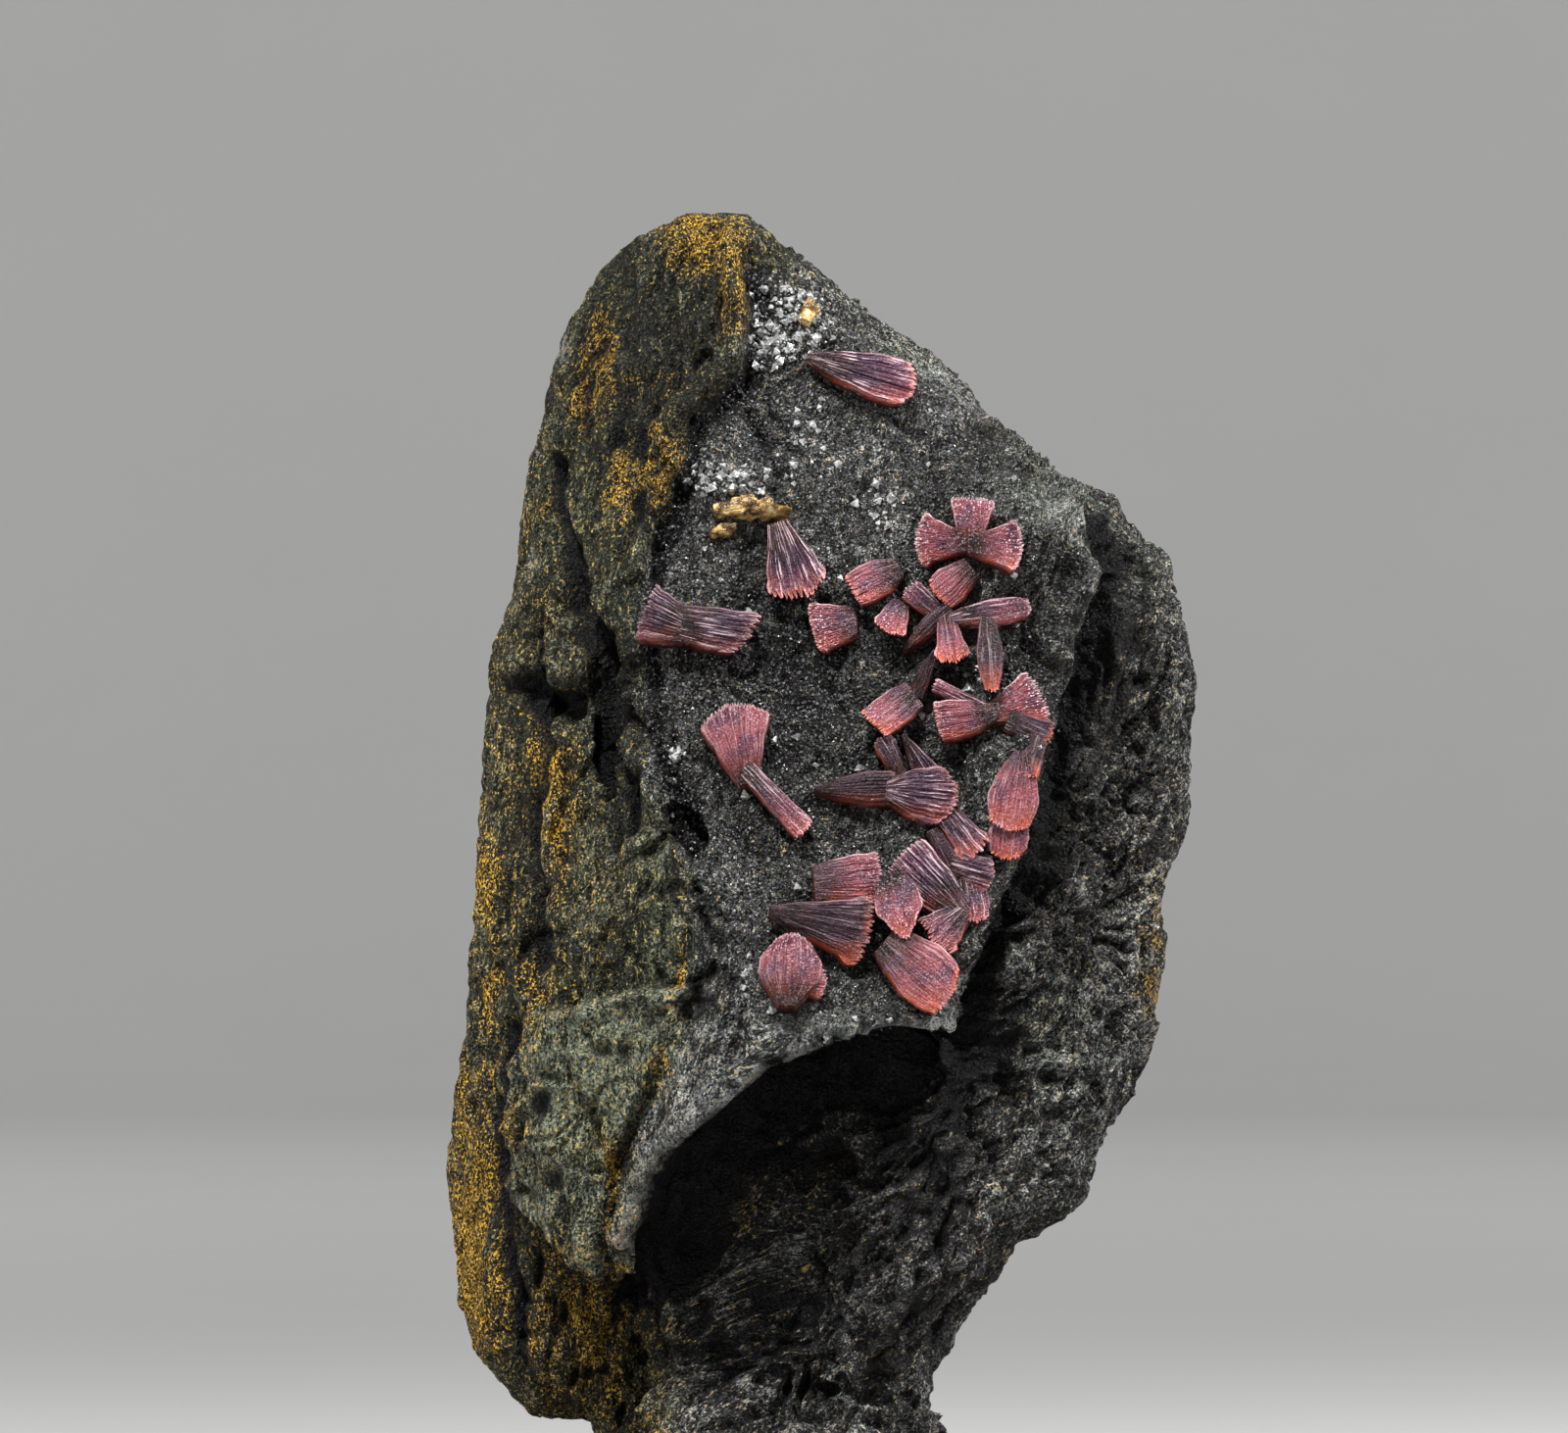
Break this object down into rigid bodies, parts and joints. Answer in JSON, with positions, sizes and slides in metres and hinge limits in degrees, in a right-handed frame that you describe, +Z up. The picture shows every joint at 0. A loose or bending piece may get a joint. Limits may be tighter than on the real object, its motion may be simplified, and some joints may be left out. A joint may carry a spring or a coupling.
{
  "type": "rhodochrosite mineral specimen",
  "caption": "Tall block of dark foliated rock on a flat foot, with pink fan-shaped and sheaf-shaped rhodochrosite crystals in a pocket on its front.",
  "frame": {"origin": "middle of the specimen's plan, at the level of its flat foot", "axes": "+Z up, as the specimen stands; -Y towards the viewer, out of the face with the crystals; +X to the viewer's right"},
  "size_m": [0.066, 0.052, 0.1113],
  "materials": {
    "rock": "rough, dark, glinting grains, ochre stain",
    "crystal_pink": "frosted crystal faces with fine ribs",
    "crystal_mauve": "silky ribbed crystal faces",
    "crystal_honey": "glossy small blades"
  },
  "bodies": {
    "root": {"matrix": "rock", "top_fan": "crystal_pink", "star_petals": "crystal_pink", "petal_under_star": "crystal_pink", "west_petal": "crystal_pink", "centre_petal": "crystal_pink", "small_petal": "crystal_pink", "leaning_petal": "crystal_pink", "edge_group": "crystal_pink", "foot_group": "crystal_pink", "round_petal": "crystal_pink", "red_fan": "crystal_pink", "hanging_fan": "crystal_mauve", "left_sheaf": "crystal_mauve", "lower_star": "crystal_mauve", "round_fan_group": "crystal_mauve", "golden_blade": "crystal_honey", "golden_flake": "crystal_honey", "golden_chip": "crystal_honey"}
  },
  "joints": []
}
